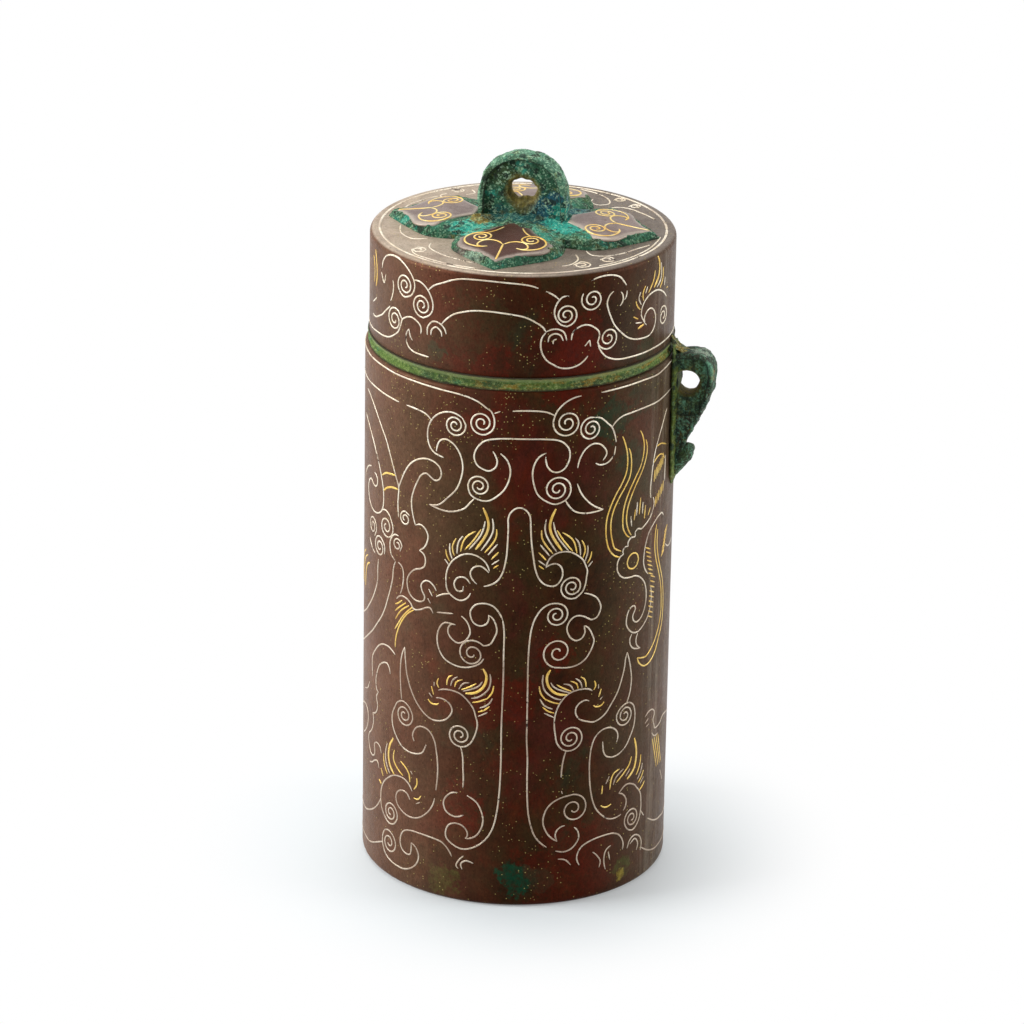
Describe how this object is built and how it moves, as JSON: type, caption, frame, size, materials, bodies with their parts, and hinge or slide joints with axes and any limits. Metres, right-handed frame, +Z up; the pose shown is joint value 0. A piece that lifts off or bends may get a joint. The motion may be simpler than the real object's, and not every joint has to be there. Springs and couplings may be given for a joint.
{
  "type": "bronze cylindrical lidded box",
  "caption": "Tall cylindrical bronze box with a lift-off cap lid, a quatrefoil and pierced loop on the lid, one side lug and scroll inlay in silver and gold.",
  "frame": {"origin": "on the vessel's axis, in the plane that the box stands on", "axes": "+Z up along the vessel's axis, -Y towards the front of the body's pattern, +X to the lug's side"},
  "size_m": [0.0638, 0.0574, 0.1355],
  "materials": {
    "patinated_bronze": "dark red-brown patina, satin, with worn and mineral patches",
    "inner_bronze": "dull brown patina",
    "collar_bronze": "green patina, dull",
    "crusted_bronze": "thick green and turquoise mineral crust, rough",
    "silver_inlay": "worn warm silver, satin",
    "gold_inlay": "worn gold, satin"
  },
  "bodies": {
    "vessel": {"vessel_wall": "patinated_bronze", "vessel_floor": "inner_bronze", "mouth_collar": "collar_bronze", "side_lug": "crusted_bronze", "cloud_arch_front": "silver_inlay", "cloud_line_right_front": "silver_inlay", "cloud_line_left_front": "silver_inlay", "shoulder_scroll_front": "silver_inlay", "phoenix_crest_front": "gold_inlay", "phoenix_neck_front": "gold_inlay", "cloud_arch_back": "silver_inlay", "cloud_line_right_back": "silver_inlay", "cloud_line_left_back": "silver_inlay", "shoulder_scroll_back": "silver_inlay", "phoenix_crest_back": "gold_inlay", "phoenix_neck_back": "gold_inlay"},
    "lid": {"lid_shell": "patinated_bronze", "quatrefoil_base": "crusted_bronze", "petal_plate_front": "patinated_bronze", "petal_plate_right": "patinated_bronze", "petal_plate_back": "patinated_bronze", "petal_plate_left": "patinated_bronze", "lid_loop": "crusted_bronze", "lid_rim_ring": "silver_inlay", "petal_scroll_front": "gold_inlay", "petal_scroll_right": "gold_inlay", "petal_scroll_back": "gold_inlay", "petal_scroll_left": "gold_inlay", "lid_upper_line_front": "silver_inlay", "lid_lower_line_front": "silver_inlay", "lid_upper_line_back": "silver_inlay", "lid_lower_line_back": "silver_inlay"}
  },
  "joints": [
    {"name": "lid_lift", "type": "slide", "parent": "vessel", "child": "lid", "axis": [0, 0, 1], "range_m": [0, 0.06]}
  ]
}
